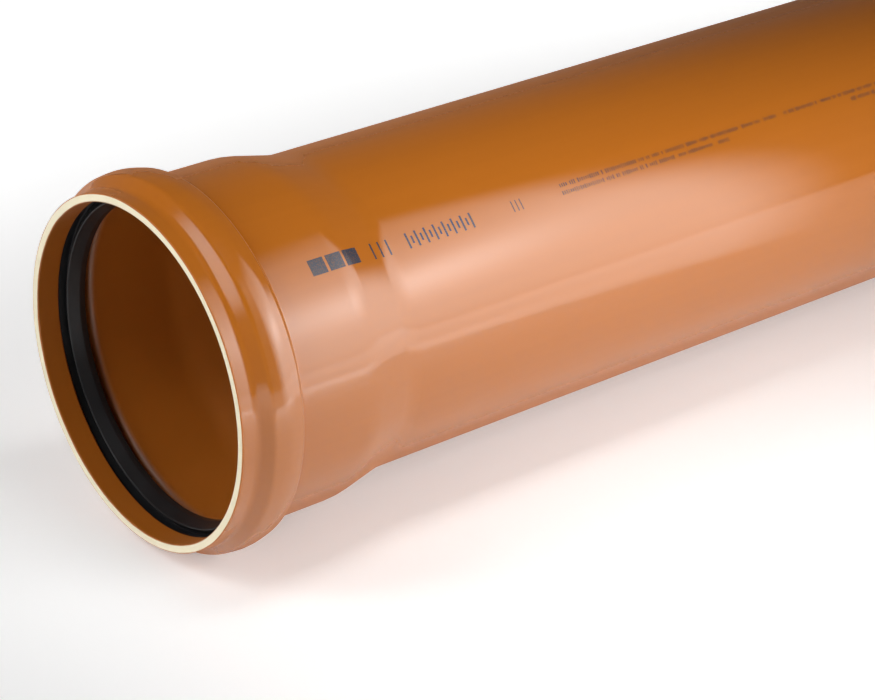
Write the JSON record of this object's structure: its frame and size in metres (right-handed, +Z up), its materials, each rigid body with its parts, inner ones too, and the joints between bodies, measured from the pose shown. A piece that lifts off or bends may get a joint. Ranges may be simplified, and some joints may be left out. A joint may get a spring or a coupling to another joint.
{
  "type": "sewer pipe",
  "caption": "Orange-brown plastic sewer pipe length with a push-fit socket, a rubber sealing ring in its bead and a chamfered spigot end.",
  "frame": {"origin": "centre of the socket's mouth, on the pipe's axis", "axes": "+X along the pipe's axis from the socket's mouth to the spigot end, +Z up as the pipe lies"},
  "size_m": [1.082, 0.1868, 0.1869],
  "materials": {
    "pipe_plastic": "smooth glossy extruded orange-brown plastic",
    "ring_rubber": "satin black moulded rubber"
  },
  "bodies": {
    "root": {"socketed_pipe": "pipe_plastic", "sealing_ring": "ring_rubber"}
  },
  "joints": []
}
